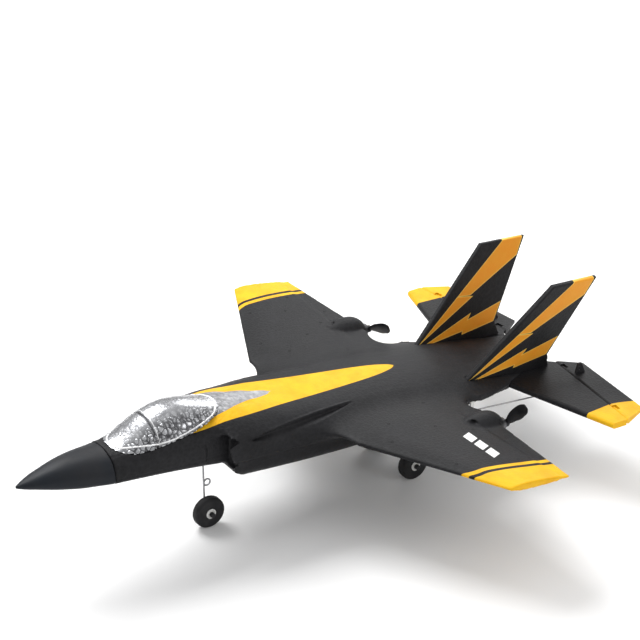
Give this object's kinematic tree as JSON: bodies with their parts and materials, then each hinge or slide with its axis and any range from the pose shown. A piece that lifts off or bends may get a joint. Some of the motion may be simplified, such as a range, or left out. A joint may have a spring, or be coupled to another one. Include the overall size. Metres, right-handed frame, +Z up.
{
  "type": "foam rc jet airplane",
  "caption": "Foam radio-control jet airplane with swept wings, canted twin fins, hinged elevators, pusher propellers in pods and wire tricycle landing gear.",
  "frame": {"origin": "on the ground below the middle of the overall length, on the centre plane", "axes": "+X to the left wing, +Y from nose to tail, +Z up"},
  "size_m": [0.315, 0.415, 0.1263],
  "materials": {
    "black_foam": "matte beaded foam",
    "wing_foam": "matte beaded foam, yellow tips",
    "tail_foam": "matte beaded foam, yellow tips",
    "striped_foam": "matte foam with two yellow bolts",
    "smooth_nose_foam": "smooth matte foam",
    "silver_canopy_foam": "silver paint over beaded foam",
    "carbon_rod": "pultruded carbon",
    "battery_wrap": "shrink wrap",
    "circuit_board": "solder mask",
    "black_plastic": "moulded",
    "propeller_plastic": "moulded, slight shine",
    "blue_plastic": "moulded",
    "white_plastic": "moulded",
    "steel_wire": "drawn wire",
    "motor_steel": "plated can",
    "foam_tyre": "dense foam rubber"
  },
  "bodies": {
    "airframe": {"battery": "battery_wrap", "canopy": "silver_canopy_foam", "fuselage_lower": "black_foam", "fuselage_upper": "black_foam", "hatch_pin": "steel_wire", "left_axle_cap": "black_plastic", "left_fin": "striped_foam", "left_hinge_inner": "black_plastic", "left_hinge_outer": "black_plastic", "left_intake_cowl": "black_foam", "left_main_strut": "steel_wire", "left_motor": "motor_steel", "left_pod_lower": "black_foam", "left_pod_upper": "black_foam", "left_servo_case": "blue_plastic", "left_stabilizer": "tail_foam", "left_wing": "wing_foam", "main_gear_block": "black_plastic", "nose_axle_cap": "black_plastic", "nose_cone": "smooth_nose_foam", "nose_gear_block": "black_plastic", "nose_strut": "steel_wire", "receiver_board": "circuit_board", "right_axle_cap": "black_plastic", "right_fin": "striped_foam", "right_hinge_inner": "black_plastic", "right_hinge_outer": "black_plastic", "right_intake_cowl": "black_foam", "right_main_strut": "steel_wire", "right_motor": "motor_steel", "right_pod_lower": "black_foam", "right_pod_upper": "black_foam", "right_servo_case": "blue_plastic", "right_stabilizer": "tail_foam", "right_wing": "wing_foam", "tail_nozzle": "black_foam", "wing_spar": "carbon_rod"},
    "nose_wheel": {"nose_tyre": "foam_tyre", "nose_hub": "white_plastic"},
    "left_wheel": {"left_tyre": "foam_tyre", "left_hub": "white_plastic"},
    "right_wheel": {"right_tyre": "foam_tyre", "right_hub": "white_plastic"},
    "left_prop_unit": {"left_propeller": "propeller_plastic", "left_prop_shaft": "motor_steel"},
    "right_prop_unit": {"right_propeller": "propeller_plastic", "right_prop_shaft": "motor_steel"},
    "left_elevator_unit": {"left_elevator": "tail_foam", "left_horn": "black_plastic", "left_hinge_wire": "steel_wire"},
    "right_elevator_unit": {"right_elevator": "tail_foam", "right_horn": "black_plastic", "right_hinge_wire": "steel_wire"},
    "left_arm_unit": {"left_servo_arm": "white_plastic"},
    "right_arm_unit": {"right_servo_arm": "white_plastic"},
    "left_rod_unit": {"left_pushrod": "steel_wire"},
    "right_rod_unit": {"right_pushrod": "steel_wire"},
    "hatch_unit": {"battery_hatch": "black_foam"}
  },
  "joints": [
    {"name": "nose_wheel_spin", "type": "hinge", "parent": "airframe", "child": "nose_wheel", "pos_m": [0, -0.074, 0.01075], "axis": [1, 0, 0], "continuous": true},
    {"name": "left_wheel_spin", "type": "hinge", "parent": "airframe", "child": "left_wheel", "pos_m": [0.0225, 0.0725, 0.01075], "axis": [1, 0, 0], "continuous": true},
    {"name": "right_wheel_spin", "type": "hinge", "parent": "airframe", "child": "right_wheel", "pos_m": [-0.0225, 0.0725, 0.01075], "axis": [1, 0, 0], "continuous": true},
    {"name": "left_propeller_spin", "type": "hinge", "parent": "airframe", "child": "left_prop_unit", "pos_m": [0.077, 0.1035, 0.06], "axis": [0, 0.9936, -0.1132], "continuous": true},
    {"name": "left_elevator_hinge", "type": "hinge", "parent": "airframe", "child": "left_elevator_unit", "pos_m": [0.0276, 0.1905, 0.056], "axis": [0.9921, -0.1253, 0], "range_deg": [-20, 20]},
    {"name": "left_servo_turn", "type": "hinge", "parent": "airframe", "child": "left_arm_unit", "pos_m": [0.037, 0.1085, 0.0575], "axis": [0.9921, -0.1253, 0], "range_deg": [-20, 20]},
    {"name": "left_pushrod_pivot", "type": "hinge", "parent": "left_arm_unit", "child": "left_rod_unit", "pos_m": [0.037, 0.1085, 0.0495], "axis": [0.9921, -0.1253, 0], "range_deg": [-20, 20]},
    {"name": "right_propeller_spin", "type": "hinge", "parent": "airframe", "child": "right_prop_unit", "pos_m": [-0.077, 0.1035, 0.06], "axis": [0, 0.9936, -0.1132], "continuous": true},
    {"name": "right_elevator_hinge", "type": "hinge", "parent": "airframe", "child": "right_elevator_unit", "pos_m": [-0.0276, 0.1905, 0.056], "axis": [0.9921, 0.1253, 0], "range_deg": [-20, 20]},
    {"name": "right_servo_turn", "type": "hinge", "parent": "airframe", "child": "right_arm_unit", "pos_m": [-0.037, 0.1085, 0.0575], "axis": [0.9921, 0.1253, 0], "range_deg": [-20, 20]},
    {"name": "right_pushrod_pivot", "type": "hinge", "parent": "right_arm_unit", "child": "right_rod_unit", "pos_m": [-0.037, 0.1085, 0.0495], "axis": [0.9921, 0.1253, 0], "range_deg": [-20, 20]},
    {"name": "battery_hatch_hinge", "type": "hinge", "parent": "airframe", "child": "hatch_unit", "pos_m": [0, -0.0521, 0.0452], "axis": [-1, 0, 0], "range_deg": [0, 90]}
  ],
  "couplings": [
    {"joint": "left_servo_turn", "follows": "left_elevator_hinge", "ratio": 1},
    {"joint": "left_pushrod_pivot", "follows": "left_elevator_hinge", "ratio": -1},
    {"joint": "right_servo_turn", "follows": "right_elevator_hinge", "ratio": 1},
    {"joint": "right_pushrod_pivot", "follows": "right_elevator_hinge", "ratio": -1}
  ]
}
